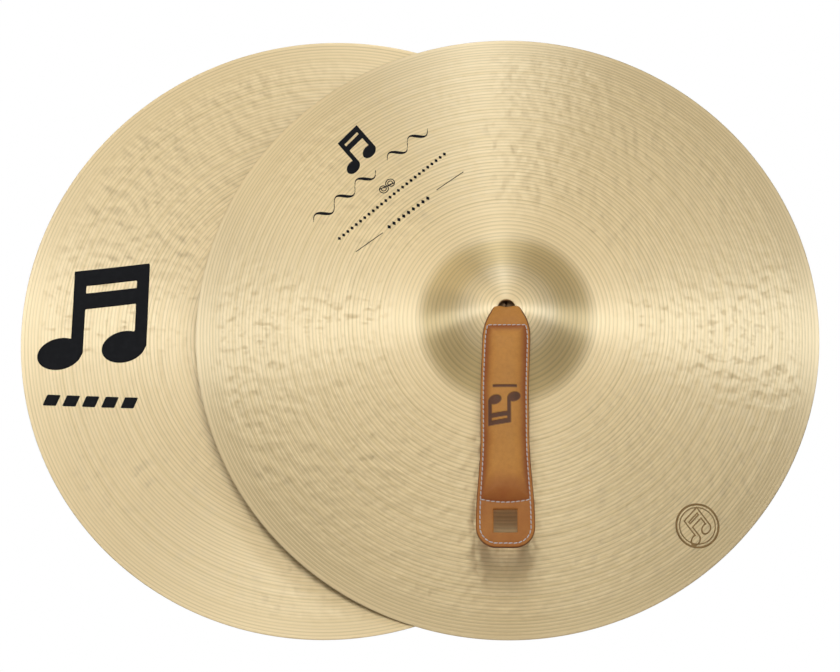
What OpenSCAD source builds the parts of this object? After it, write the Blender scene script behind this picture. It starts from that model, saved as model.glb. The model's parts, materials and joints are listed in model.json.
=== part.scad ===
// A pair of hand cymbals, held face to face, each with a padded leather strap.
// The origin is the top of the rear cymbal's bore. +Y runs out through the rear bell,
// +X towards the side where the front cymbal stands out, and the straps hang along -Z.

/* [Cymbal] */
// Diameter of each cymbal
cymbal_d = 406.4; // [350:0.1:510]
// Height from the rim plane to the top of the bell
cymbal_h = 44; // [40:0.5:50]
// Diameter across the foot of the bell
bell_d = 120; // [112:1:140]
// Height of the bell above the bow
bell_h = 24; // [20:0.5:26]
// Bronze thickness at the bore
bell_t = 1.6; // [1.2:0.1:2]
// Bronze thickness at the rim
rim_t = 1.1; // [0.8:0.1:1.4]
// Diameter of the bore in the bell
bore_d = 11; // [11:0.5:13]

/* [Pair] */
// How far the front cymbal stands to the side of the rear one
pair_offset = 115.9; // [60:0.1:160]
// Air between the two rim planes
rim_gap = 0.3; // [0.3:0.1:2]

/* [Strap] */
// Length from the centre of the bore to the end of the strap
strap_l = 152.5; // [148:0.5:180]
// Width of the padded part
strap_w = 30; // [28:0.2:34]
// Width of the end with the slot
end_w = 36; // [34:0.2:44]
// Thickness of one layer of leather
leather_t = 2.2; // [1.8:0.1:2.4]
// Height of the padding under the face leather
pad_h = 4; // [2:0.5:5]
// Side of the square slot
slot_w = 14.5; // [12:0.5:18]
// Distance of the seam from the strap's edge
seam_inset = 2.2; // [1.8:0.1:3]

/* [Knot] */
// Side of the square knot inside the bell
knot_w = 34; // [28:1:36]
// Thickness of the knot
knot_t = 10; // [8:0.5:11]
// Width of each of the four lashes
lash_w = 9; // [7:0.5:10]
// Distance from the middle of the knot to the end of each lash
lash_l = 40; // [36:1:41]

/* [Hidden] */
$fn = 96;

bronze = "#d9bd85";
tan_leather = "#b5733a";
raw_leather = "#c99a63";
linen = "#efe6d2";
foam = "#e8e0c8";

rim_r = cymbal_d / 2;
bell_r = bell_d / 2;
bore_r = bore_d / 2;
bow_h = cymbal_h - bell_h;
bell_k = 1.45;        // over 1, the bell is flatter on top and steeper near its foot
edge_r = 0.3;         // broken edge round the rim

hinge_y = 3.2;        // the strap bends over the side of the bore, this far from its centre
hinge_z = 3;          // and this far above the bell
knuckle_r = 2;
strap_start = hinge_y + knuckle_r + 0.4;
arch_end = 20;        // the strap tapers from here towards the bore
arch_l = 22;
flare_start = 84;     // and widens between here
flare_end = 137;      // and here
corner_r = 12.5;
top_seam = 12.9;      // cross seams above and below the padding
low_seam = 123.8;
slot_start = 129;
seam_w = 0.8;
seam_t = 0.5;
pad_foot = 3.6;       // from the strap's edge to the foot of the padded hump
pad_end = 0.6;        // from a cross seam to the foot of the hump
pad_skin = 1.6;       // leather over the padding
pad_clear = 0.15;
pad_taper = [0.62, 0.95];

neck_r = bore_r - 0.3;
neck_drop = 0.2;      // from the top of the bell down to where the neck leaves the round
bend_w = 2 * neck_r - 1.4;
washer_r = 18;
washer_t = 2.2;
washer_gap = 0.15;
lash_t = 2;
knot_top = cymbal_h - 6.6;
knot_round = 7;
lash_drop = 4;        // from the top of the knot to where each lash leaves it
lash_side = 0.5;      // from the middle of the knot's side to the lash's edge
lash_slope = 0.3;     // fall of each lash over its reach

// Outer surface of the cymbal: a shallow bow, and the bell rising from it in a soft S.
function bow_z(r) = rim_t + (bow_h - rim_t) * (rim_r * rim_r - r * r) / (rim_r * rim_r - bell_r * bell_r);
function bell_rise(r) = (cymbal_h - bow_z(0)) * (1 + cos(180 * pow(abs(r) / bell_r, bell_k))) / 2;
function outer_z(r) = bow_z(r) + (abs(r) < bell_r ? bell_rise(r) : 0);
function slope(r) = (outer_z(r + 0.05) - outer_z(r - 0.05)) / 0.1;
function thickness(r) = bell_t + (rim_t - bell_t) * r / rim_r;
function inner_z(r) = max(0, outer_z(r) - thickness(r) * sqrt(1 + slope(r) * slope(r)));

// Radii at which the section is drawn: closer together over the bell.
stations = concat(
    [for (i = [0:25]) bell_r * i / 26],
    [for (i = [0:14]) bell_r + (rim_r - edge_r - bell_r) * i / 14]);

module cymbal() {
    outer = [for (r = stations) [r, outer_z(r)]];
    inner = [for (i = [len(stations) - 1:-1:0]) [stations[i], inner_z(stations[i])]];
    rim = [[rim_r, rim_t - edge_r], [rim_r, edge_r]];
    color(bronze)
        difference() {
            rotate_extrude() polygon(concat(outer, rim, inner));
            cylinder(h = 3 * cymbal_h, r = bore_r, center = true);
        }
}

// Leather washer inside the bell, pulled to its curve by the knot.
module washer() {
    steps = 6;
    radii = [for (i = [0:steps]) bore_r + (washer_r - bore_r) * i / steps];
    top = [for (r = radii) [r, inner_z(r) - washer_gap]];
    under = [for (i = [steps:-1:0]) [radii[i], inner_z(radii[i]) - washer_gap - washer_t]];
    color(raw_leather) rotate_extrude() polygon(concat(top, under));
}

// The strap's neck: both layers of leather pressed together in the bore,
// ending outside in the round bend that the strap folds on.
module strap_neck() {
    color(tan_leather) {
        translate([0, 0, knot_top]) cylinder(h = cymbal_h - neck_drop - knot_top, r = neck_r);
        hull() {
            translate([0, 0, cymbal_h - 2 * neck_drop])
                cylinder(h = neck_drop, r = neck_r - neck_drop, $fn = 32);
            bend(bend_w, knuckle_r - 0.1, $fn = 32);
        }
        bend(bend_w + 0.6, knuckle_r);
    }
}

module bend(w, r) {
    translate([0, -hinge_y, cymbal_h + hinge_z]) rotate([0, 90, 0]) cylinder(h = w, r = r, center = true);
}

// Square with round corners, drawn as four arcs.
module round_square(w, r) {
    middle = w / 2 - r;
    polygon([for (corner = [[1, 1, 0], [-1, 1, 90], [-1, -1, 180], [1, -1, 270]]) for (a = [0:15:90])
        [corner[0] * middle + r * cos(corner[2] + a), corner[1] * middle + r * sin(corner[2] + a)]]);
}

module lash_knot() {
    color(raw_leather)
        translate([0, 0, knot_top - knot_t]) linear_extrude(knot_t) round_square(knot_w, knot_round);
}

// Ends of the four lashes. Each leaves one side of the knot and follows the bell down.
module lash_tails() {
    reach = lash_l - knot_w / 2;
    fall = reach * lash_slope;
    color(raw_leather)
        for (a = [0:90:270]) rotate(a)
            translate([knot_w / 2, lash_side, knot_top - lash_drop]) rotate([90, 0, 180])
                linear_extrude(lash_w)
                    polygon([[0, 0], [-reach, -fall], [-reach, -fall - lash_t], [0, -lash_t]]);
}

// Half width of the strap at a distance s from the bore, drawn in by an inset.
function ease(t) = let (c = min(max(t, 0), 1)) c * c * (3 - 2 * c);
function arch_w(s) = strap_w / 2 * (s < arch_end ? sqrt(1 - pow((arch_end - s) / arch_l, 2)) : 1);
function flare_w(s) = (end_w - strap_w) / 2 * ease((s - flare_start) / (flare_end - flare_start));
function corner_w(s, inset) = let (d = s - strap_l + corner_r)
    d > 0 ? corner_r - inset - sqrt(max(0, pow(corner_r - inset, 2) - d * d)) : 0;
function half_w(s, inset) = arch_w(s) + flare_w(s) - inset - corner_w(s, inset);

// Outline of the strap between two distances from the bore. +Y runs back towards the bore.
module outline(inset, from, to) {
    end = min(to, strap_l - inset);
    body_end = min(end, strap_l - corner_r);
    spots = concat(
        [for (i = [0:10]) if (from < arch_end) from + (arch_end - from) * i / 10],
        [for (i = [1:20]) let (s = max(from, arch_end)) s + (body_end - s) * i / 20],
        [for (a = [15:15:90]) if (end > body_end) body_end + (corner_r - inset) * sin(a)]);
    right = [for (s = spots) [half_w(s, inset), -s]];
    left = [for (i = [len(spots) - 1:-1:0]) [-half_w(spots[i], inset), -spots[i]]];
    polygon(concat(right, left));
}

module slot_hole() {
    translate([-slot_w / 2, -slot_start - slot_w, -20]) cube([slot_w, slot_w, 40]);
}

// The tapered hump over the padding. grow is how far it reaches past the padding.
module hump(grow, height) {
    middle = (top_seam + low_seam) / 2;
    margin = pad_skin - grow;
    translate([0, -middle, 0]) linear_extrude(height, scale = pad_taper, slices = 1, $fn = 8)
        translate([0, middle])
            outline(pad_foot + margin, top_seam + pad_end + margin, low_seam - pad_end - margin);
}

module strap_back() {
    color(tan_leather) difference() {
        translate([0, 0, -leather_t]) linear_extrude(leather_t) outline(0, strap_start, strap_l);
        slot_hole();
    }
}

module strap_pad() {
    color(foam) translate([0, 0, pad_clear]) hump(-2 * pad_clear, pad_h - 2 * pad_clear);
}

module strap_face() {
    color(tan_leather) difference() {
        union() {
            linear_extrude(leather_t) outline(0, strap_start, strap_l);
            hump(pad_skin, pad_h + pad_skin);
        }
        translate([0, 0, -0.01]) hump(0, pad_h);
        slot_hole();
    }
}

// A seam shows as a line of thread on both sides of the strap.
module both_sides() {
    translate([0, 0, leather_t]) linear_extrude(seam_t) children();
    translate([0, 0, -leather_t - seam_t]) linear_extrude(seam_t) children();
}

module edge_seam() {
    color(linen) both_sides() difference() {
        outline(seam_inset - seam_w / 2, top_seam + seam_w / 2 + 0.1, strap_l);
        outline(seam_inset + seam_w / 2, top_seam - 1, strap_l);
    }
}

module cross_seams() {
    color(linen) both_sides() for (s = [top_seam, low_seam])
        let (w = half_w(s, seam_inset + (s < arch_end ? -seam_w / 2 : seam_w / 2 + 0.1)))
            translate([-w, -s - seam_w / 2]) square([2 * w, seam_w]);
}

// The cymbals' own frames have the rim at z = 0, the bell up and the strap along -Y.
module rear() {
    translate([0, -cymbal_h, 0]) rotate([90, 0, 180]) children();
}

module front() {
    translate([pair_offset, -cymbal_h - rim_gap, 0]) rotate([90, 0, 0]) children();
}

module on_hinge() {
    translate([0, 0, cymbal_h + hinge_z]) children();
}

rear() cymbal();  // rear_cymbal
rear() washer();  // rear_washer
rear() strap_neck();  // rear_strap_neck
rear() lash_knot();  // rear_lash_knot
rear() lash_tails();  // rear_lash_tails
rear() on_hinge() strap_back();  // rear_strap_back
rear() on_hinge() strap_pad();  // rear_strap_pad
rear() on_hinge() strap_face();  // rear_strap_face
rear() on_hinge() edge_seam();  // rear_edge_seam
rear() on_hinge() cross_seams();  // rear_cross_seams

front() cymbal();  // front_cymbal
front() washer();  // front_washer
front() strap_neck();  // front_strap_neck
front() lash_knot();  // front_lash_knot
front() lash_tails();  // front_lash_tails
front() on_hinge() strap_back();  // front_strap_back
front() on_hinge() strap_pad();  // front_strap_pad
front() on_hinge() strap_face();  // front_strap_face
front() on_hinge() edge_seam();  // front_edge_seam
front() on_hinge() cross_seams();  // front_cross_seams
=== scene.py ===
# Looks for a pair of hand cymbals: lathed and hammered bronze with printed marks, and padded leather
# straps that are sewn with white thread and tied in a crown knot inside each bell.
# Lengths are in millimetres in each cymbal's own frame: rim plane at z = 0, bell up, strap along -y.
import json
import math

import bpy
import numpy as np
from mathutils import Matrix, Vector


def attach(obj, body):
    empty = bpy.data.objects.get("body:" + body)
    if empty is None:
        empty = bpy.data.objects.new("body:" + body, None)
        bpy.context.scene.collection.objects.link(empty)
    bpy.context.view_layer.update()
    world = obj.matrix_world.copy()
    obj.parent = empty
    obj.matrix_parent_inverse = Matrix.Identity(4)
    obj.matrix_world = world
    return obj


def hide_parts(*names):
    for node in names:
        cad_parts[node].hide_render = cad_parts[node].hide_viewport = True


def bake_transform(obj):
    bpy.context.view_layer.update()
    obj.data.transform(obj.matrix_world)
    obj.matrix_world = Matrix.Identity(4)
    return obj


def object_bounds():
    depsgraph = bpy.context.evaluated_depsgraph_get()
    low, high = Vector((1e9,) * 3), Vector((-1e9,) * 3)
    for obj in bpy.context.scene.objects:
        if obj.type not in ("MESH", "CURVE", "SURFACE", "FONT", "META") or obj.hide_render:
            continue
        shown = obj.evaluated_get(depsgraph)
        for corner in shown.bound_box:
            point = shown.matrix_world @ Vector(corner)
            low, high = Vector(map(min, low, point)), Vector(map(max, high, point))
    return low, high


MM = 0.001
SIDES = ("rear", "front")

# Cymbal
RIM_R = 203.2
BELL_R = 60.0
BORE_R = 5.5
BELL_TOP = 44.0
BOW_H = 20.0
BELL_T = 1.6
RIM_T = 1.1
BELL_K = 1.45
SEGMENTS = 300

# Strap. p is the distance down the strap, which is -y once it has come out of the bore.
STRAP_L = 152.5
STRAP_W = 30.0
END_W = 36.0
CORNER_R = 12.5
NECK_END = 2.6
ARCH_END = 20.0
ARCH_L = 22.0
FLARE = (84.0, 137.0)
LEATHER_T = 2.2
HINGE_Z = BELL_TOP + 3.0
BEND_R = 4.0
BEND_END = 5.0
TOP_SEAM = (12.9, -0.3)   # place at the strap's edges, and how much lower it is in the middle
LOW_SEAM = (123.1, 1.8)
SLOT = (129.0, 143.5)
SLOT_HALF = 7.25
PAD_RISE = 3.4
HANG = 1.6  # how far the strap hangs to one side
STITCH = 3.0

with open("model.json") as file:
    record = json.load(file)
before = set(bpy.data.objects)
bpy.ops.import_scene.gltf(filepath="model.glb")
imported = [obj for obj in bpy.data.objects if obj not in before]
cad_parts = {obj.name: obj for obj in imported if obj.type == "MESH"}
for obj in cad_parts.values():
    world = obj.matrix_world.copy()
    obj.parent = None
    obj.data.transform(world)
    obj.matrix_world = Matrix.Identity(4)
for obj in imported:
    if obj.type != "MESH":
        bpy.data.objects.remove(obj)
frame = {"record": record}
cad_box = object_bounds()
mounts = {m["name"]: Vector(m["pos_m"]) for m in frame["record"]["mounts"]}


# ---------------------------------------------------------------- places and plain mesh code

def place(side):
    """Matrix from a cymbal's own frame, in millimetres, to the row frame, in metres."""
    turn = {"rear": ((-1, 0, 0), (0, 0, 1), (0, 1, 0)), "front": ((1, 0, 0), (0, 0, -1), (0, 1, 0))}[side]
    bell_top = Matrix.Translation((0, 0, -BELL_TOP))
    return (Matrix.Translation(mounts[side + "_hand_grip"]) @ Matrix(turn).to_4x4()
            @ Matrix.Scale(MM, 4) @ bell_top)


def smooth(low, high, x):
    """0 below low, 1 above high, and an S curve between."""
    t = np.clip((np.asarray(x, float) - low) / (high - low), 0, 1)
    return t * t * (3 - 2 * t)


def add_object(name, mesh, material):
    mesh.materials.append(material)
    mesh.shade_smooth()
    obj = bpy.data.objects.new(name, mesh)
    bpy.context.scene.collection.objects.link(obj)
    return obj


def add_mesh(name, side, points, faces, material, attributes=None):
    """A smooth mesh object from points in a cymbal's own frame. Points that no face uses are dropped."""
    points, faces = np.asarray(points, float).reshape(-1, 3), np.asarray(faces, int)
    used = np.unique(faces)
    renumber = np.full(len(points), -1)
    renumber[used] = np.arange(len(used))
    matrix = np.array(place(side))
    world = points[used] @ matrix[:3, :3].T + matrix[:3, 3]
    mesh = bpy.data.meshes.new(name)
    mesh.from_pydata(world.tolist(), [], renumber[faces].tolist())
    for key, values in (attributes or {}).items():
        layer = mesh.attributes.new(key, "FLOAT", "POINT")
        layer.data.foreach_set("value", np.asarray(values, np.float32).ravel()[used])
    return add_object(name, mesh, material)


def revolve(profile, segments):
    """Points and faces of a closed profile of (r, z) turned round the axis."""
    profile = np.asarray(profile, float)
    turn = np.arange(segments) * 2 * math.pi / segments
    r, z = profile[:, :1], profile[:, 1:2]
    points = np.stack([r * np.cos(turn), r * np.sin(turn), z + 0 * turn], -1)
    i, j = np.meshgrid(np.arange(len(profile)), np.arange(segments), indexing="ij")
    i2, j2 = (i + 1) % len(profile), (j + 1) % segments
    faces = np.stack([i * segments + j, i2 * segments + j, i2 * segments + j2, i * segments + j2], -1)
    return points.reshape(-1, 3), faces.reshape(-1, 4)


def slab(top, bottom, keep):
    """Points and faces of a closed solid between two grids of points. keep says which grid cells it has."""
    rows, cols = top.shape[:2]
    n = rows * cols
    cell = np.pad(keep, 1)
    faces = []
    for i, j in zip(*np.nonzero(keep)):
        a, b, c, d = i * cols + j, (i + 1) * cols + j, (i + 1) * cols + j + 1, i * cols + j + 1
        faces += [(a, b, c, d), (n + d, n + c, n + b, n + a)]
        for near, p, q in ((cell[i + 1, j], a, b), (cell[i + 2, j + 1], b, c),
                           (cell[i + 1, j + 2], c, d), (cell[i, j + 1], d, a)):
            if not near:
                faces.append((p, n + p, n + q, q))
    return np.concatenate([top.reshape(-1, 3), bottom.reshape(-1, 3)]), np.array(faces)


def tube(spine, normals, half_w, half_h, sides=8, power=2.0):
    """Points and faces of a closed tube along spine. half_w is across the normal and half_h along it."""
    spine, normals = np.asarray(spine, float), np.asarray(normals, float)
    tangent = np.gradient(spine, axis=0)
    tangent /= np.linalg.norm(tangent, axis=1, keepdims=True)
    across = np.cross(tangent, normals)
    across /= np.linalg.norm(across, axis=1, keepdims=True)
    up = np.cross(across, tangent)
    turn = np.arange(sides) * 2 * math.pi / sides
    c, s = np.cos(turn), np.sin(turn)
    x = np.sign(c) * np.abs(c) ** (2 / power)
    y = np.sign(s) * np.abs(s) ** (2 / power)
    w, h = (np.broadcast_to(v, len(spine))[:, None, None] for v in (half_w, half_h))
    rings = spine[:, None] + across[:, None] * x[:, None] * w + up[:, None] * y[:, None] * h
    points = np.concatenate([rings.reshape(-1, 3), spine[:1], spine[-1:]])
    first, last = len(spine) * sides, len(spine) * sides + 1
    end = (len(spine) - 1) * sides
    after = [(j + 1) % sides for j in range(sides)]
    faces = [(i + j, i + after[j], i + sides + after[j], i + sides + j)
             for i in range(0, end, sides) for j in range(sides)]
    faces += [(first, after[j], j, j) for j in range(sides)]
    faces += [(last, end + j, end + after[j], end + after[j]) for j in range(sides)]
    return points, faces


def join(parts):
    """One list of points and one of faces from several (points, faces), with each doubled corner dropped."""
    points, faces, start = [], [], 0
    for some_points, some_faces in parts:
        points.append(some_points)
        faces += [tuple(start + v for v in dict.fromkeys(face)) for face in some_faces]
        start += len(some_points)
    return np.concatenate(points), faces


def add_parts(name, side, parts, material):
    """One smooth mesh object from several (points, faces)."""
    points, faces = join(parts)
    matrix = np.array(place(side))
    mesh = bpy.data.meshes.new(name)
    mesh.from_pydata((points @ matrix[:3, :3].T + matrix[:3, 3]).tolist(), [], faces)
    return add_object(name, mesh, material)


def spline(points, per_span):
    """Catmull-Rom curve through points."""
    p = np.asarray(points, float)
    p = np.vstack([2 * p[0] - p[1], p, 2 * p[-1] - p[-2]])
    out = []
    for k in range(1, len(p) - 2):
        for t in np.linspace(0, 1, per_span, endpoint=False):
            a, b, c, d = p[k - 1], p[k], p[k + 1], p[k + 2]
            out.append(0.5 * (2 * b + (c - a) * t + (2 * a - 5 * b + 4 * c - d) * t ** 2
                              + (3 * b - a - 3 * c + d) * t ** 3))
    return np.array(out + [p[-2]])


# ---------------------------------------------------------------- node trees

class Nodes:
    """Short calls that build one material's node tree."""

    def __init__(self, name):
        self.material = bpy.data.materials.new(name)
        self.material.use_nodes = True
        self.tree = self.material.node_tree
        self.tree.nodes.clear()

    def add(self, kind, inputs=None, **settings):
        node = self.tree.nodes.new("ShaderNode" + kind)
        for key, value in settings.items():
            setattr(node, key, value)
        for key, value in (inputs or {}).items():
            if isinstance(value, bpy.types.NodeSocket):
                self.tree.links.new(value, node.inputs[key])
            else:
                node.inputs[key].default_value = value
        return node

    def math(self, operation, a, b=0.0, c=0.0):
        return self.add("Math", {0: a, 1: b, 2: c}, operation=operation).outputs[0]

    def mix(self, factor, a, b):
        a, b = ((*v, 1) if isinstance(v, tuple) and len(v) == 3 else v for v in (a, b))
        node = self.add("Mix", {0: factor, 6: a, 7: b}, data_type="RGBA")
        return node.outputs[2]

    def noise(self, vector, scale, detail=2.0, roughness=0.5):
        return self.add("TexNoise", {"Vector": vector, "Scale": scale, "Detail": detail,
                                     "Roughness": roughness}).outputs["Fac"]

    def noise_1d(self, w, detail=2.0, roughness=0.5):
        return self.add("TexNoise", {"W": w, "Scale": 1.0, "Detail": detail, "Roughness": roughness},
                        noise_dimensions="1D").outputs["Fac"]

    def range(self, value, low, high, to_low=0.0, to_high=1.0):
        return self.add("MapRange", {"Value": value, 1: low, 2: high, 3: to_low, 4: to_high},
                        interpolation_type="SMOOTHSTEP").outputs[0]

    def bump(self, height, distance, normal=None):
        inputs = {"Height": height, "Distance": distance, "Strength": 1.0}
        if normal is not None:
            inputs["Normal"] = normal
        return self.add("Bump", inputs).outputs[0]

    def attribute(self, name):
        return self.add("Attribute", attribute_name=name).outputs["Fac"]

    def place(self):
        return self.add("TexCoord").outputs["Object"]

    def finish(self, **inputs):
        names = {key.replace("_", " "): value for key, value in inputs.items()}
        names = {key: (*value, 1) if isinstance(value, tuple) and len(value) == 3 else value
                 for key, value in names.items()}
        shader = self.add("BsdfPrincipled", names)
        output = self.add("OutputMaterial")
        self.tree.links.new(shader.outputs[0], output.inputs[0])
        return self.material


def bronze(side):
    """Lathed bronze under lacquer: the grooves run round, so highlights spread along the radius."""
    n = Nodes(side + "_bronze")
    middle = mounts[side + "_hand_grip"]
    spot = n.place()
    offset = n.add("VectorMath", {0: spot, 1: tuple(middle)}, operation="SUBTRACT").outputs[0]
    parts = n.add("SeparateXYZ", {0: offset}).outputs
    square = n.math("MULTIPLY_ADD", parts[2], parts[2], n.math("MULTIPLY", parts[0], parts[0]))
    radius = n.math("MULTIPLY", n.math("SQRT", square), 1 / MM)
    wander = n.math("MULTIPLY_ADD", n.noise(spot, 14.0), 0.5, radius)
    fine = n.noise_1d(n.math("MULTIPLY", wander, 2.4), detail=2.0)
    broad = n.noise_1d(n.math("MULTIPLY", wander, 0.3), detail=3.0, roughness=0.6)
    cut = n.range(n.attribute("groove"), 0.3, 1.0)
    dents = n.add("TexVoronoi", {"Vector": spot, "Scale": 140.0, "Smoothness": 0.7, "Randomness": 1.0},
                  feature="SMOOTH_F1").outputs["Distance"]
    ripple = n.noise(spot, 170.0, detail=1.0)
    bowed = n.math("MULTIPLY", n.range(radius, 62.0, 88.0), n.range(radius, 200.0, 184.0))
    uneven = n.range(n.noise(spot, 16.0, detail=2.0), 0.3, 0.7, 0.7, 1.0)
    blows = n.math("MULTIPLY_ADD", ripple, 0.8, dents)
    hammering = n.math("MULTIPLY", blows, n.math("MULTIPLY", bowed, uneven))

    tone = n.mix(n.noise(spot, 7.0, detail=3.0), (0.92, 0.715, 0.39), (0.86, 0.655, 0.34))
    tone = n.mix(n.range(broad, 0.4, 0.75, 0.0, 0.6), tone, (0.78, 0.585, 0.285))
    bell = n.math("MULTIPLY", n.range(radius, 24.0, 38.0), n.range(radius, 60.0, 48.0))
    tone = n.mix(n.math("MULTIPLY", bell, 0.55), tone, (0.78, 0.55, 0.2))
    # Painted shade: the hollows of the lathe's grooves are darkened in the colour, more or less with the fine
    # noise.
    tone = n.mix(n.math("MULTIPLY", cut, n.range(fine, 0.3, 0.7, 0.14, 0.45)), tone, (0.36, 0.27, 0.13))
    rough = n.math("MULTIPLY_ADD", fine, 0.1, 0.4)
    normal = n.bump(hammering, 0.0004)
    normal = n.bump(fine, 0.000018, normal)
    tangent = n.add("Tangent", direction_type="RADIAL", axis="Y").outputs[0]
    return n.finish(Base_Color=tone, Metallic=1.0, Roughness=rough, Normal=normal,
                    Anisotropic=0.95, Anisotropic_Rotation=0.25, Tangent=tangent,
                    Coat_Weight=0.3, Coat_Roughness=0.35, Coat_IOR=1.45)


def leather(name, light, dark, edge):
    """Vegetable-tanned leather. It is darker where the mesh says that it is burnished, stamped or in painted
    shade.
    """
    n = Nodes(name)
    spot = n.place()
    mottle = n.noise(spot, 55.0, detail=4.0, roughness=0.6)
    blotch = n.noise(spot, 18.0, detail=2.0)
    pores = n.add("TexVoronoi", {"Vector": spot, "Scale": 1500.0},
                  feature="DISTANCE_TO_EDGE").outputs["Distance"]
    creases = n.noise(spot, 420.0, detail=3.0, roughness=0.65)
    # Painted shade: this darkening covers the padding's shoulders, the strap's low end and the neck where it
    # enters the bore, besides the burnished edges.
    burnish_and_shade = n.math("ADD", n.attribute("burnish_and_shade"), n.math("MULTIPLY_ADD", mottle, 0.5, -0.25))
    tone = n.mix(n.range(blotch, 0.3, 0.72), light, tuple(0.86 * v for v in light))
    tone = n.mix(n.range(burnish_and_shade, 0.05, 0.95), tone, dark)
    tone = n.mix(n.attribute("rim"), tone, edge)
    tone = n.mix(n.math("MULTIPLY", n.attribute("stamp"), 0.92), tone, (0.1, 0.045, 0.026))
    tone = n.mix(n.range(creases, 0.3, 0.75, 0.0, 0.18), tone, dark)
    grain = n.math("MULTIPLY_ADD", n.range(pores, 0.0, 0.22), 0.6, creases)
    normal = n.bump(grain, 0.00009)
    normal = n.bump(mottle, 0.0003, normal)
    rough = n.range(mottle, 0.3, 0.7, 0.42, 0.56)
    return n.finish(Base_Color=tone, Roughness=rough, Normal=normal, Specular_IOR_Level=0.25,
                    Coat_Weight=0.08, Coat_Roughness=0.3)


def thread():
    """Waxed white thread with its twist."""
    n = Nodes("thread")
    spot = n.place()
    twist = n.add("TexWave", {"Vector": spot, "Scale": 900.0, "Distortion": 1.5, "Detail": 1.0},
                  bands_direction="DIAGONAL").outputs["Fac"]
    fuzz = n.noise(spot, 2500.0, detail=2.0)
    tone = n.mix(n.range(twist, 0.0, 0.7), (0.78, 0.69, 0.55), (0.97, 0.92, 0.82))
    tone = n.mix(n.math("MULTIPLY", fuzz, 0.3), tone, (0.96, 0.94, 0.89))
    normal = n.bump(n.math("ADD", twist, fuzz), 0.00012)
    return n.finish(Base_Color=tone, Roughness=0.75, Normal=normal, Sheen_Weight=0.3)


def ink(name, tone, rough):
    """Printed ink, slightly uneven where it lies over the grooves."""
    n = Nodes(name)
    spot = n.place()
    patch = n.noise(spot, 260.0, detail=3.0)
    worn = n.mix(n.range(patch, 0.35, 0.8, 0.0, 0.5), tone, tuple(1.7 * v + 0.004 for v in tone))
    normal = n.bump(n.noise(spot, 900.0, detail=2.0), 0.00004)
    return n.finish(Base_Color=worn, Roughness=rough, Normal=normal, Specular_IOR_Level=0.15)


# ---------------------------------------------------------------- cymbal

def outer_z(r):
    """Height of the outer surface: a shallow bow, and the bell rising from it in a soft S."""
    square = np.square(np.asarray(r, float))
    bow = (BOW_H - RIM_T) / (RIM_R ** 2 - BELL_R ** 2)
    rise = BELL_TOP - RIM_T - bow * RIM_R ** 2
    inner = np.minimum(1, square / BELL_R ** 2) ** (BELL_K / 2)
    return RIM_T + bow * (RIM_R ** 2 - square) + rise * (1 + np.cos(math.pi * inner)) / 2


def inner_z(r):
    slope = (outer_z(np.add(r, 0.05)) - outer_z(np.subtract(r, 0.05))) / 0.1
    thickness = BELL_T + (RIM_T - BELL_T) * np.asarray(r, float) / RIM_R
    return np.maximum(0, outer_z(r) - thickness * np.sqrt(1 + slope ** 2))


def hammer_marks(seed):
    """Places, sizes and depths of the hammer's blows, in rings round the bow."""
    rng = np.random.default_rng(seed)
    blows = []
    for ring in np.arange(68.0, 192.0, 11.5):
        count = int(2 * math.pi * ring / 12.5)
        turn = (np.arange(count) + rng.uniform(-0.35, 0.35, count)) * 2 * math.pi / count
        r = ring + rng.uniform(-4, 4, count)
        blows.append(np.stack([r * np.cos(turn), r * np.sin(turn), rng.uniform(6.5, 10, count),
                               rng.uniform(0.01, 0.06, count)], -1))
    return np.concatenate(blows)


def hammered(x, y, marks):
    """Height that the hammering takes off the surface. It fades towards the bell and the rim."""
    depth = np.zeros_like(x)
    for mx, my, reach, deep in marks:
        near = (np.abs(x - mx) < reach) & (np.abs(y - my) < reach)
        d = ((x[near] - mx) ** 2 + (y[near] - my) ** 2) / reach ** 2
        depth[near] += deep * np.clip(1 - d, 0, None) ** 2
    r = np.hypot(x, y)
    return depth * smooth(BELL_R - 2, BELL_R + 14, r) * (1 - smooth(RIM_R - 20, RIM_R - 7, r))


def groove_rings(first, last, rng):
    """(radius, depth, ridge) for the lathe's grooves: a sharp ridge, then the hollow of the cut."""
    rings, r = [], first
    while r < last:
        width = np.interp(r, (BELL_R, 120, 190), (2.55, 2.4, 2.15)) * rng.uniform(0.9, 1.1)
        depth = np.interp(r, (15, 35, 52, 70, RIM_R), (0.05, 0.13, 0.12, 0.07, 0.09)) * rng.uniform(0.6, 1.2)
        rings += [(r, 0.0, True), (r + width / 2, depth, False)]
        r += width
    return rings + [(r, 0.0, True)]


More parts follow.
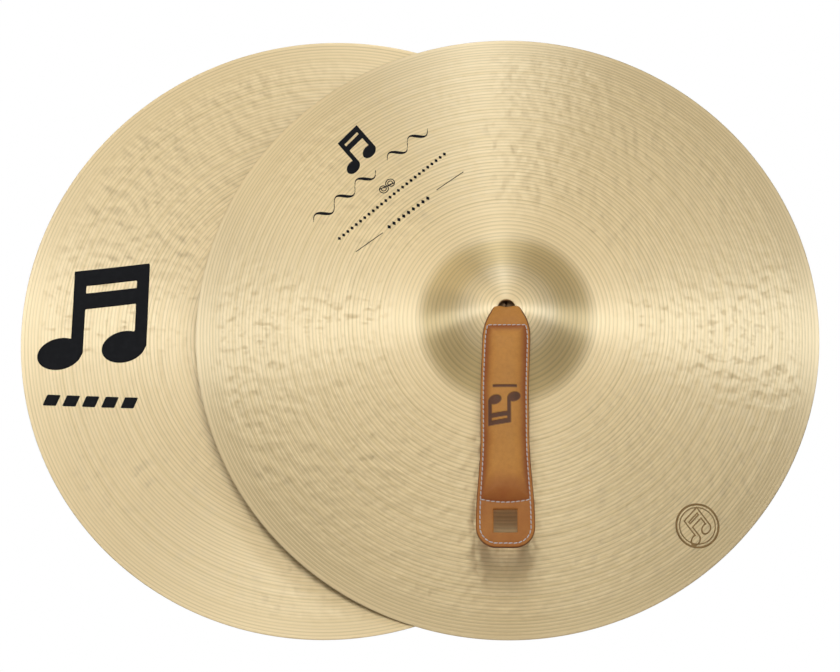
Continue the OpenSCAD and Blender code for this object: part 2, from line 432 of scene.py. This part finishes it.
def cymbal(side, seed):
    rng = np.random.default_rng(seed)
    bore_edge = [(BORE_R, 0.4), (BORE_R + 0.1, 0.12), (BORE_R + 0.4, 0.0)]
    rows = [(r, float(outer_z(r)) - drop, False, 0.0) for r, drop in bore_edge]
    for r, cut, ridge in groove_rings(8.5, RIM_R - 3.4, rng):
        rows.append((r, float(outer_z(r)) - cut, ridge, 1.0 if cut else 0.0))
    rows += [(RIM_R - 0.9, float(outer_z(RIM_R - 0.9)), False, 0.0), (RIM_R - 0.3, RIM_T, False, 0.0),
             (RIM_R - 0.08, RIM_T - 0.12, False, 0.0), (RIM_R, RIM_T / 2, False, 0.0),
             (RIM_R - 0.08, 0.12, False, 0.0), (RIM_R - 0.3, 0.02, False, 0.0)]
    for r, cut, ridge in reversed(groove_rings(9.0, RIM_R - 3.4, rng)):
        rows.append((r, float(inner_z(r)) + cut, ridge, 1.0 if cut else 0.0))
    rows += [(r, float(inner_z(r)) + drop, False, 0.0) for r, drop in reversed(bore_edge)]

    points, faces = revolve([row[:2] for row in rows], SEGMENTS)
    points[:, 2] -= hammered(points[:, 0], points[:, 1], hammer_marks(seed))
    groove = np.repeat([row[3] for row in rows], SEGMENTS)
    obj = add_mesh(side + "_bronze_cymbal", side, points, faces, bronze(side), {"groove": groove})
    ring_of = np.zeros(len(obj.data.edges) * 2, int)
    obj.data.edges.foreach_get("vertices", ring_of)
    ring_of = ring_of.reshape(-1, 2) // SEGMENTS
    ridges = np.array([row[2] for row in rows])
    sharp = (ring_of[:, 0] == ring_of[:, 1]) & ridges[ring_of[:, 0]]
    obj.data.attributes.new("sharp_edge", "BOOLEAN", "EDGE").data.foreach_set("value", sharp)
    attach(obj, side + "_cymbal")
    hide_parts(side + "_cymbal")


# ---------------------------------------------------------------- marks

def segment_distance(x, y, ax, ay, bx, by):
    t = np.clip(((x - ax) * (bx - ax) + (y - ay) * (by - ay)) / ((bx - ax) ** 2 + (by - ay) ** 2), 0, 1)
    return np.hypot(x - ax - t * (bx - ax), y - ay - t * (by - ay))


def notes_shape(x, y):
    """Two beamed notes in a unit square, negative inside."""
    heads = []
    for cx, cy in ((-0.27, -0.36), (0.29, -0.27)):
        u = (x - cx) * 0.94 + (y - cy) * 0.34
        v = -(x - cx) * 0.34 + (y - cy) * 0.94
        heads.append((np.hypot(u / 0.2, v / 0.145) - 1) * 0.145)
    stems = [segment_distance(x, y, cx, cy, cx, cy + 0.64) - 0.055
             for cx, cy in ((-0.125, -0.33), (0.435, -0.24))]
    slope = (x - 0.155) * 0.16
    beams = [np.maximum(np.abs(x - 0.155) - 0.335, np.abs(y - top - slope) - 0.075) for top in (0.4, 0.18)]
    return np.minimum.reduce(heads + stems + beams)


def bar_shape(count):
    """A row of slanted bars, one unit long."""
    def shape(x, y):
        pitch = 1.0 / count
        k = np.clip(np.round((x + 0.5) / pitch - 0.5), 0, count - 1)
        near = x - (k + 0.5) * pitch + 0.5
        return np.maximum(np.abs(near - y * 0.35) - pitch * 0.34, np.abs(y) - 0.06)
    return shape


def dot_shape(count):
    """A row of small lozenges, one unit long."""
    def shape(x, y):
        pitch = 1.0 / count
        k = np.clip(np.round((x + 0.5) / pitch - 0.5), 0, count - 1)
        near = x - (k + 0.5) * pitch + 0.5
        return np.abs(near) * 0.8 + np.abs(y) * 0.6 - pitch * 0.26
    return shape


def rule_shape(x, y):
    return np.maximum(np.abs(x) - 0.5, np.abs(y) - 0.012)


def flourish_shape(x, y):
    """Two runs of a soft ornamental wave, drawn with a broad pen, together one unit long."""
    out = np.full_like(x, 9.0)
    for start, end, waves in ((-0.48, 0.04, 3), (0.14, 0.48, 2)):
        u = np.linspace(0, 1, 90 * waves)
        turn = 2 * math.pi * waves * u
        cx = start + (end - start) * u
        cy = 0.034 * np.sin(turn)
        pen = 0.0026 + 0.0075 * np.sin(turn / 2) ** 4
        for px, py, half in zip(cx, cy, pen):
            np.minimum(out, np.hypot(x - px, y - py) - half, out=out)
    return out


def swirl_shape(x, y):
    """A small double scroll."""
    out = np.full_like(x, 9.0)
    for sign in (1, -1):
        u, v = sign * x - 0.24, sign * y
        turn, reach = np.arctan2(v, u), np.hypot(u, v)
        for lap in (0, 1):
            radius = 0.05 + 0.034 * (turn + math.pi + 2 * math.pi * lap) / 2
            out = np.minimum(out, np.where(radius < 0.27, np.abs(reach - radius) - 0.024, 9.0))
    return np.minimum(out, segment_distance(x, y, -0.4, 0.12, 0.4, -0.12) - 0.03)


def emblem_shape(x, y):
    """Two rings round the outline of the notes."""
    reach = np.hypot(x, y)
    rings = np.minimum(np.abs(reach - 0.46) - 0.022, np.abs(reach - 0.39) - 0.012)
    return np.minimum(rings, np.abs(notes_shape(x / 0.6 + 0.1, y / 0.6) * 0.6) - 0.014)


def mark(name, side, surface, shape, centre, angle, size, material, aspect=1.0, cell=0.6, proud=0.05):
    """A printed mark: a thin solid that follows the cymbal's surface. aspect is the height of its field."""
    half_x, half_y = size * 0.56, size * 0.56 * aspect
    xs = np.linspace(-half_x, half_x, int(2 * half_x / cell) + 1)
    ys = np.linspace(half_y, -half_y, int(2 * half_y / cell) + 1)
    y, x = np.meshgrid(ys, xs, indexing="ij")
    value = shape(x / size, y / size)
    inside = (value[1:, 1:] + value[:-1, 1:] + value[1:, :-1] + value[:-1, :-1]) < 0
    touched = np.pad(inside, 1)
    count = (touched[1:, 1:].astype(int) + touched[:-1, 1:] + touched[1:, :-1] + touched[:-1, :-1])
    edge = (count > 0) & (count < 4)
    step = 0.02
    for _ in range(4):
        value = shape(x / size, y / size)
        gx = (shape((x + step) / size, y / size) - value) / step
        gy = (shape(x / size, (y + step) / size) - value) / step
        push = -value / np.maximum(gx * gx + gy * gy, 1e-9)
        length = np.hypot(push * gx, push * gy)
        push = np.where(edge, push * np.minimum(1, 0.35 * cell / np.maximum(length, 1e-9)), 0)
        x, y = x + push * gx, y + push * gy
    c, s = math.cos(math.radians(angle)), math.sin(math.radians(angle))
    x = x if surface == "outer" else -x
    px, py = centre[0] + c * x - s * y, centre[1] + s * x + c * y
    r = np.hypot(px, py)
    base = (outer_z(r) if surface == "outer" else inner_z(r)) - hammered(px, py, MARKS_HAMMERED[side])
    out = 1 if surface == "outer" else -1
    top = np.stack([px, py, base + out * proud], -1)
    bottom = np.stack([px, py, base - out * 0.35], -1)
    points, faces = slab(top, bottom, inside)
    obj = add_mesh(name, side, points, faces, material)
    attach(obj, side + "_cymbal")


# ---------------------------------------------------------------- strap

def arch_width(p):
    """Half width of the tapered top of the strap, as far as the neck that passes through the bore."""
    inner = (ARCH_END - np.clip(p, 2, ARCH_END)) / ARCH_L
    arch = STRAP_W / 2 * np.sqrt(1 - inner ** 2)
    neck = np.interp(p, (0.2, NECK_END), (4.7, 9.6))
    return np.where(p > NECK_END, arch, np.minimum(arch, neck))


def body_width(p):
    return arch_width(p) + (END_W - STRAP_W) / 2 * smooth(*FLARE, p)


def half_width(p):
    """Half width with the round corners at the end."""
    d = np.clip(p - STRAP_L + CORNER_R, 0, CORNER_R)
    return body_width(p) - (CORNER_R - np.sqrt(CORNER_R ** 2 - d * d))


def edge_distance(p, a):
    """Distance of a point on the strap from its outline."""
    side = half_width(np.minimum(p, STRAP_L - CORNER_R)) - np.abs(a)
    cx, cp = body_width(p) - CORNER_R, STRAP_L - CORNER_R
    corner = CORNER_R - np.hypot(np.abs(a) - cx, p - cp)
    plain = np.minimum(body_width(p) - np.abs(a), STRAP_L - p)
    return np.where((np.abs(a) > cx) & (p > cp), corner, np.where(p > cp, plain, side))


def strap_point(p, a, lift):
    """Point of the strap at a distance p down it, a across it, and lift above the back leather's mid-plane.
    Above the bell's mouth the leather curls until it fits the bore."""
    turn = np.clip((BEND_END - p) / BEND_R, 0, math.pi / 2)
    base_z = HINGE_Z - LEATHER_T / 2 - BEND_R
    y = -BEND_END + BEND_R * np.sin(turn) - np.maximum(p - BEND_END, 0)
    z = base_z + BEND_R * np.cos(turn) - np.maximum(BEND_END - BEND_R * math.pi / 2 - p, 0)
    curl = np.maximum(np.interp(p, (-1, 2, 5, 9, 16, 24), (0.3, 0.45, 0.36, 0.25, 0.12, 0.0)), 1e-4)
    wide = body_width(p)
    radius = wide / curl
    angle = curl * a / wide
    x = (radius - lift) * np.sin(angle) - HANG * smooth(5, 60, p)
    rise = radius - (radius - lift) * np.cos(angle)
    return np.stack([x, y + rise * np.sin(turn), z + rise * np.cos(turn)], -1)


def seam_inset(p):
    return 1.8 + 0.7 * smooth(*FLARE, p)


def cross_seam(seam, a):
    """Place down the strap of a seam across it."""
    wide = body_width(seam[0]) - seam_inset(seam[0])
    return seam[0] + seam[1] * (1 - (a / wide) ** 2)


def panel_distance(p, a):
    """Distance inside the sewn panel over the padding, negative outside it."""
    side = body_width(p) - seam_inset(p) - np.abs(a)
    return np.minimum(side, np.minimum(p - cross_seam(TOP_SEAM, a), cross_seam(LOW_SEAM, a) - p))


def seam_valley(p, a):
    """Depth that the stitches pull the leather in, along every seam."""
    edge = np.abs(edge_distance(p, a) - seam_inset(p))
    cross = np.minimum(np.abs(p - cross_seam(TOP_SEAM, a)), np.abs(p - cross_seam(LOW_SEAM, a)))
    return 0.22 * np.exp(-(np.minimum(np.where(p > TOP_SEAM[0], edge, 9), cross) / 0.7) ** 2)


def stamp_value(p, a):
    """1 inside the stamped notes and the bar above them."""
    size = 21.0
    notes = notes_shape(-a / size, (p - 67) / size) * size
    bar = np.maximum(np.abs(a) - 7.5, np.abs(p - 52.6) - 0.9)
    return 1 - smooth(-0.25, 0.25, np.minimum(notes, bar))


def face_lift(p, a):
    """Height of the face leather's outer surface above the back leather's mid-plane."""
    thick = LEATHER_T * (0.4 + 0.6 * smooth(0, 9, p))
    inside = np.clip(panel_distance(p, a) / 11.5, 0, 1)
    crown = PAD_RISE * (1 - (1 - inside) ** 2.6)
    edge = edge_distance(p, a)
    rounding = 0.9 * (1 - np.sqrt(np.clip(1 - (1 - np.clip(edge / 0.9, 0, 1)) ** 2, 0, 1)))
    hole = np.maximum(np.abs(a) - SLOT_HALF, np.maximum(SLOT[0] - p, p - SLOT[1]))
    lip = 0.3 * (1 - smooth(0, 0.7, hole))
    return LEATHER_T / 2 + thick + crown - rounding - seam_valley(p, a) - lip - 0.3 * stamp_value(p, a)


def strap_grid(first):
    """Rows and columns of points over the strap, with rows and columns on the slot's edges."""
    near = [0.0, 0.1, 0.35, 0.7]
    p = np.concatenate([np.arange(first, 24, 0.4), np.arange(24, SLOT[0] - 0.2, 0.5), [SLOT[0]],
                        np.arange(SLOT[0] + 0.5, SLOT[1] - 0.2, 0.55), [SLOT[1]],
                        np.arange(SLOT[1] + 0.5, STRAP_L - 1.2, 0.5), STRAP_L - np.array(near[::-1])])
    wide = half_width(p)[:, None]
    inner = np.minimum(SLOT_HALF, 0.55 * wide)
    edge = np.array(near)
    t = np.linspace(0, 1, 19)[1:]
    flank = -wide + edge[-1] + (wide - inner - edge[-1]) * t
    left = np.concatenate([-wide + edge, flank], 1)
    middle = inner * np.linspace(-1, 1, 35)[1:-1]
    a = np.concatenate([left, middle, -left[:, ::-1]], 1)
    keep = np.ones((len(p) - 1, a.shape[1] - 1), bool)
    rows = (p[:-1] >= SLOT[0] - 1e-6) & (p[1:] <= SLOT[1] + 1e-6)
    cols = np.zeros(a.shape[1] - 1, bool)
    cols[left.shape[1] - 1:a.shape[1] - left.shape[1]] = True
    keep[np.ix_(rows, cols)] = False
    return np.broadcast_to(p[:, None], a.shape), a, keep


def burnish_and_shade_value(p, a):
    """How dark the face leather is made: painted shade over the padding's shoulders, at the low end and in
    the neck, darker margins outside the sewn panel, and burnishing along its cut edge.
    """
    panel = panel_distance(p, a)
    border = np.where(p > LOW_SEAM[0] - 30, 0.65, 0.3)
    shoulder = np.where(panel > 0, np.exp(-(panel / 4.4) ** 2), border)
    low = np.where(panel > 0, smooth(96, 122, p) * 0.75, 0)
    neck = 0.8 * (1 - smooth(-2, 1.5, p))
    edge = np.exp(-(edge_distance(p, a) / 0.9) ** 2)
    return np.maximum.reduce([shoulder * 0.85, low, neck, edge * 0.7 * smooth(2, 14, p)])


def face_leather(side, material):
    p, a, keep = strap_grid(-1.0)
    lift = face_lift(p, a)
    under = np.minimum(lift - 0.5, LEATHER_T / 2 + 0.02 + 0 * p)
    points, faces = slab(strap_point(p, a, lift), strap_point(p, a, under), keep)
    edge = edge_distance(p, a)
    rim = np.concatenate([1 - smooth(0.05, 0.6, edge), np.maximum(1 - smooth(0.0, 2.0, edge), 0.4)])
    burnish_and_shade = np.concatenate([burnish_and_shade_value(p, a), 0 * p + 0.6])
    stamp = np.concatenate([stamp_value(p, a), 0 * p])
    obj = add_mesh(side + "_strap_face_leather", side, points, faces, material,
                   {"burnish_and_shade": burnish_and_shade, "rim": rim * 0.85, "stamp": stamp})
    follow_fold(obj)
    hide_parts(side + "_strap_face", side + "_strap_pad")


def back_leather(side, material):
    p, a, keep = strap_grid(-5.5)
    edge = edge_distance(p, a)
    rounding = 0.7 * (1 - np.sqrt(np.clip(1 - (1 - np.clip(edge / 0.7, 0, 1)) ** 2, 0, 1)))
    under = -LEATHER_T / 2 + rounding + seam_valley(p, a)
    top = 0 * p + LEATHER_T / 2
    points, faces = slab(strap_point(p, a, top), strap_point(p, a, under), keep)
    rim = np.concatenate([np.maximum(1 - smooth(0.0, 2.0, edge), 0.2), 1 - smooth(0.05, 0.6, edge)])
    burnish_and_shade = np.concatenate([0 * p + 0.5, np.exp(-(edge / 2.0) ** 2) * 0.8])
    obj = add_mesh(side + "_strap_back_leather", side, points, faces, material,
                   {"burnish_and_shade": burnish_and_shade, "rim": rim * 0.85, "stamp": 0 * burnish_and_shade})
    follow_fold(obj)
    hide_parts(side + "_strap_back", side + "_strap_neck")


def follow_fold(obj):
    """Bakes the object's placement into its mesh."""
    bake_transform(obj)


def seam_line(points, over_back):
    """Stitches along a line of (p, a): each one dips into its holes at both ends."""
    points = np.asarray(points, float)
    length = np.concatenate([[0], np.cumsum(np.hypot(*np.diff(points, axis=0).T))])
    count = int(round(length[-1] / STITCH))
    parts = []
    for k in range(count):
        t = (k + 0.5 + np.linspace(-0.4, 0.4, 9)) * length[-1] / count
        p, a = np.interp(t, length, points[:, 0]), np.interp(t, length, points[:, 1])
        slant = np.linspace(-0.12, 0.12, 9)
        tangent = np.array([p[-1] - p[0], a[-1] - a[0]])
        tangent /= np.hypot(*tangent)
        p, a = p - slant * tangent[1], a + slant * tangent[0]
        arch = np.sin(np.linspace(0, math.pi, 9)) ** 0.55
        if over_back:
            spine = strap_point(p, a, -LEATHER_T / 2 - 0.2 + 0.45 * (1 - arch))
            above = strap_point(p, a, -LEATHER_T / 2 - 1)
        else:
            lift = face_lift(p, a)
            spine = strap_point(p, a, lift + 0.5 * arch - 0.28)
            above = strap_point(p, a, lift + 1.5)
        parts.append(tube(spine, above - spine, 0.36 * (0.75 + 0.25 * arch), 0.28, sides=8))
    return parts


def edge_path():
    """The seam round the edge, from one end of the top cross seam to the other."""
    p = np.linspace(TOP_SEAM[0], STRAP_L - CORNER_R, 260)
    right = np.stack([p, body_width(p) - seam_inset(p)], -1)
    inset = float(seam_inset(STRAP_L))
    turn = np.linspace(0, math.pi / 2, 14)[1:]
    corner = np.stack([STRAP_L - CORNER_R + (CORNER_R - inset) * np.sin(turn),
                       float(body_width(STRAP_L)) - CORNER_R + (CORNER_R - inset) * np.cos(turn)], -1)
    half = np.concatenate([right, corner])
    return np.concatenate([half, (half * (1, -1))[::-1]])


def cross_path(seam):
    wide = float(body_width(seam[0]) - seam_inset(seam[0]))
    a = np.linspace(-wide, wide, 40)
    return np.stack([cross_seam(seam, a), a], -1)


def stitching(side, material):
    for node, paths in (("edge", [edge_path()]), ("cross", [cross_path(TOP_SEAM), cross_path(LOW_SEAM)])):
        parts = [part for path in paths for back in (False, True) for part in seam_line(path, back)]
        obj = add_parts(f"{side}_{node}_stitches", side, parts, material)
        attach(obj, side + "_strap")
        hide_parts(side + ("_edge_seam" if node == "edge" else "_cross_seams"))


# ---------------------------------------------------------------- knot inside the bell

# One lash: out of the bore, over the side of the knot, across under it, and out as a tail.
LASH_ROUTE = [(-1.5, 1.6, 39.4), (-3, 2.8, 37.8), (-7, 4.4, 36.5), (-12, 5, 36.0), (-15.6, 5, 35.0),
              (-16.4, 5, 32.4), (-15, 5, 29.9), (-10, 5, 28.7), (-5, 5, 28.4), (0, 5, 29.7), (5, 5, 31.1),
              (10, 5, 31.9), (17, 5, 32.2), (24, 5.1, 30.3), (32, 5.2, 27.9), (40, 5.1, 25.5)]
KNOT_SPANS = 12


def lashes(side, material):
    route = spline(LASH_ROUTE, 6)
    tangent = np.gradient(route, axis=0)
    normal = np.cross(tangent, (0, 1, 0))
    normal /= np.linalg.norm(normal, axis=1, keepdims=True)
    wide = np.interp(np.arange(len(route)), (0, 8, 20, len(route)), (2.0, 3.2, 4.5, 4.5))
    cut = KNOT_SPANS * 6
    for node, rows in (("lash_knot", slice(0, cut + 1)), ("lash_tails", slice(cut, None))):
        parts = []
        for quarter in range(4):
            turn = np.array(Matrix.Rotation(quarter * math.pi / 2, 3, "Z")).T
            parts.append(tube(route[rows] @ turn, normal[rows] @ turn, wide[rows], 1.0, sides=16, power=5.0))
        obj = add_parts(f"{side}_{node}_leather", side, parts, material)
        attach(obj, side + "_swivel")
        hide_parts(side + "_" + node)


def washer(side, material):
    radii = np.linspace(BORE_R + 0.5, 17.5, 10)
    top = inner_z(radii) - 0.15
    profile = [(r, z) for r, z in zip(radii, top)]
    profile += [(17.9, top[-1] - 0.5), (18.0, top[-1] - 1.1), (17.9, top[-1] - 1.8)]
    profile += [(r, z - 2.2) for r, z in zip(radii[::-1], top[::-1])]
    profile += [(BORE_R + 0.1, top[0] - 1.7), (BORE_R + 0.05, top[0] - 1.1), (BORE_R + 0.1, top[0] - 0.5)]
    points, faces = revolve(profile[::-1], 96)
    faces = faces[:, ::-1]
    obj = add_mesh(side + "_leather_washer", side, points, faces, material)
    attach(obj, side + "_cymbal")
    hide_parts(side + "_washer")


# ---------------------------------------------------------------- stage

DAYLIGHT = (0.82, 1.0, 1.45)  # a little cooler than the lights in front


def direction(azimuth, elevation):
    """Unit vector from the pair towards an azimuth and an elevation, in degrees."""
    azimuth, elevation = math.radians(azimuth), math.radians(elevation)
    return Vector((math.sin(azimuth) * math.cos(elevation), -math.cos(azimuth) * math.cos(elevation),
                   math.sin(elevation)))


def softbox(name, centre, angles, distance, size, power, colour=(1, 1, 1)):
    """A studio light that faces the pair. angles are its azimuth and elevation."""
    away = direction(*angles)
    light = bpy.data.lights.new(name, "AREA")
    light.shape, light.size, light.size_y = "RECTANGLE", *size
    light.energy, light.color = power, colour
    obj = bpy.data.objects.new(name, light)
    obj.location = centre + away * distance
    obj.rotation_euler = away.to_track_quat("Z", "Y").to_euler()
    bpy.context.scene.collection.objects.link(obj)


def stage(centre):
    floor_z = -1.1
    span = 6.0
    mesh = bpy.data.meshes.new("floor")
    corners = ((-span, -span), (span, -span), (span, span), (-span, span))
    mesh.from_pydata([(x, y, floor_z) for x, y in corners], [], [(0, 1, 2, 3)])
    floor = bpy.data.objects.new("floor", mesh)
    bpy.context.scene.collection.objects.link(floor)
    n = Nodes("floor_paint")
    grain = n.noise(n.place(), 40.0, detail=3.0)
    paint = n.mix(grain, (0.8, 0.8, 0.79), (0.84, 0.84, 0.83))
    mesh.materials.append(n.finish(Base_Color=paint, Roughness=0.8))

    world = bpy.data.worlds.new("studio")
    bpy.context.scene.world = world
    world.use_nodes = True
    tree = world.node_tree
    background = tree.nodes["Background"]
    background.inputs["Color"].default_value = (1.0, 0.99, 0.97, 1)
    background.inputs["Strength"].default_value = 0.08
    seen = tree.nodes.new("ShaderNodeBackground")
    seen.inputs["Color"].default_value = (1, 1, 1, 1)
    path, choose = tree.nodes.new("ShaderNodeLightPath"), tree.nodes.new("ShaderNodeMixShader")
    tree.links.new(path.outputs["Is Camera Ray"], choose.inputs[0])
    tree.links.new(background.outputs[0], choose.inputs[1])
    tree.links.new(seen.outputs[0], choose.inputs[2])
    tree.links.new(choose.outputs[0], tree.nodes["World Output"].inputs["Surface"])

    softbox("front_box", centre, (-2, 16), 2.2, (2.2, 1.6), 5.2)
    softbox("front_small", centre, (-2, 16), 1.8, (0.9, 0.9), 4.8)
    softbox("wide_strip", centre, (-2, 16), 1.6, (3.0, 0.14), 3.4, DAYLIGHT)
    softbox("left_box", centre, (-85, 10), 1.5, (0.6, 0.4), 2.1, DAYLIGHT)
    softbox("right_box", centre, (60, 12), 1.6, (0.6, 0.4), 1.8, DAYLIGHT)
    softbox("top_box", centre, (-2, 60), 1.5, (0.7, 0.5), 1.9, DAYLIGHT)
    softbox("top_small", centre, (-2, 66), 1.5, (0.2, 0.2), 0.8, DAYLIGHT)
    softbox("upper_left", centre, (-60, 50), 1.6, (0.8, 0.8), 1.2)
    softbox("low_box", centre, (-2, -30), 1.6, (1.6, 0.6), 1.2)
    softbox("back_top", centre, (170, 40), 1.8, (1.4, 1.0), 12.0)


def camera():
    """The camera's place, turn and focal length, from a fit to the rims and the bore in the photograph."""
    back = direction(1.98, -15.66)
    roll = math.radians(0.39)
    target = Vector((0.0599, -0.044, -0.0059))
    distance = 1.1848
    data = bpy.data.cameras.new("camera")
    data.sensor_width, data.lens = 36.0, 77.67
    obj = bpy.data.objects.new("camera", data)
    rotation = back.to_track_quat("Z", "Y").to_matrix() @ Matrix.Rotation(roll, 3, "Z")
    obj.matrix_world = Matrix.Translation(target + back * distance) @ rotation.to_4x4()
    bpy.context.scene.collection.objects.link(obj)
    bpy.context.scene.camera = obj
    bpy.context.scene.view_settings.view_transform = "Standard"


# ---------------------------------------------------------------- the pair

SEEDS = {"rear": 11, "front": 23}
MARKS_HAMMERED = {side: hammer_marks(SEEDS[side]) for side in SIDES}

tan = leather("tan_leather", (0.92, 0.385, 0.065), (0.46, 0.12, 0.02), (0.2, 0.06, 0.012))
raw = leather("raw_leather", (0.50, 0.32, 0.16), (0.30, 0.16, 0.07), (0.2, 0.11, 0.05))
white_thread = thread()
black_ink = ink("black_ink", (0.006, 0.0055, 0.005), 0.55)
brown_ink = ink("engraving", (0.34, 0.2, 0.07), 0.5)

for side in SIDES:
    cymbal(side, SEEDS[side])
    washer(side, raw)
    lashes(side, raw)
    back_leather(side, tan)
    face_leather(side, tan)
    stitching(side, white_thread)
    # Printed marks: the large notes inside the cymbal, the small group and the engraving outside.
    mark(side + "_mark_large_notes", side, "inner", notes_shape, (158, 10), 0, 73, black_ink, cell=0.8)
    mark(side + "_mark_bars", side, "inner", bar_shape(5), (156, -48), 0, 62, black_ink,
         aspect=0.16, cell=0.7)
    mark(side + "_mark_small_notes", side, "outer", notes_shape, (-101, 120), 38, 27, black_ink, cell=0.35)
    mark(side + "_mark_flourish", side, "outer", flourish_shape, (-89, 102), 41.5, 104, black_ink,
         aspect=0.26, cell=0.4)
    mark(side + "_mark_swirl", side, "outer", swirl_shape, (-78, 93), 41, 13, black_ink, aspect=0.6, cell=0.2)
    mark(side + "_mark_dots", side, "outer", dot_shape(26), (-74.5, 86), 40.5, 94, black_ink,
         aspect=0.05, cell=0.35)
    mark(side + "_mark_short_dots", side, "outer", dot_shape(9), (-63.5, 73.5), 38, 36, black_ink,
         aspect=0.12, cell=0.35)
    for k, centre in enumerate(((-89, 53.2), (-36.3, 95.6))):
        mark(f"{side}_mark_rule_{k + 1}", side, "outer", rule_shape, centre, 36, 22, black_ink,
             aspect=0.1, cell=0.3)
    mark(side + "_mark_engraving", side, "outer", emblem_shape, (119.5, -132), 38, 29, brown_ink,
         cell=0.3, proud=0.03)

centre = (cad_box[0] + cad_box[1]) / 2
stage(centre)
camera()
